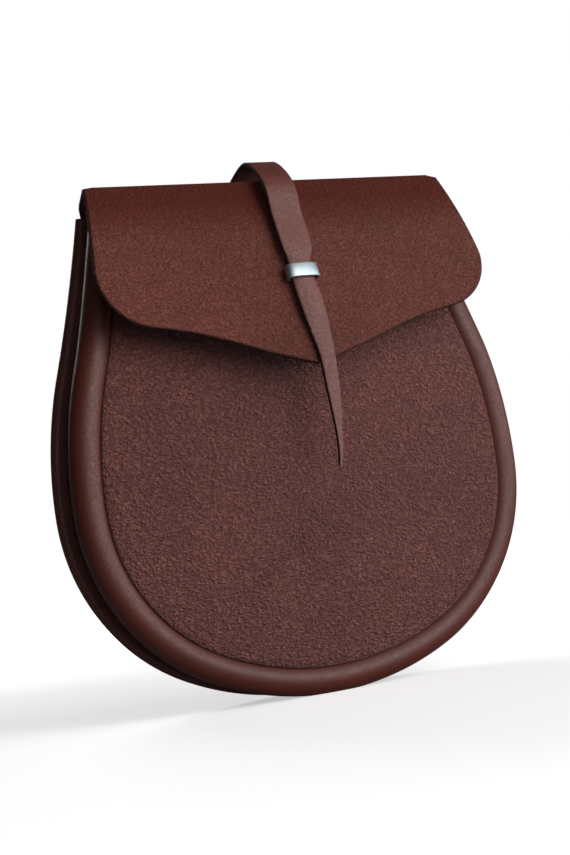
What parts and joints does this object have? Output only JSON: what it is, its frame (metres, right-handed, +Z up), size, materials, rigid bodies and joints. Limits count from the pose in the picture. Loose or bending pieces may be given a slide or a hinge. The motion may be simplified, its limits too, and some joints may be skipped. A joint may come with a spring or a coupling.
{
  "type": "sporran pouch",
  "caption": "Rounded leather pouch with a rolled front rim, a folded-over flap and a long pointed strap held by a metal keeper.",
  "frame": {"origin": "on the floor, in the middle of the flat on which the front rim rests", "axes": "+Z up, +X to the wearer's left as seen from the front, +Y from the front panel to the back"},
  "size_m": [0.1924, 0.0595, 0.2113],
  "materials": {
    "smooth_leather": "smooth, satin",
    "pebbled_leather": "pebbled grain",
    "flap_leather": "fine grain",
    "dark_leather": "smooth, satin",
    "polished_steel": "polished",
    "thread": "waxed"
  },
  "bodies": {
    "root": {"front_panel": "pebbled_leather", "front_rim": "smooth_leather", "gusset": "dark_leather", "rear_rim": "dark_leather", "back_and_flap": "flap_leather", "closing_strap": "flap_leather", "keeper": "polished_steel", "belt_loop": "flap_leather"}
  },
  "joints": []
}
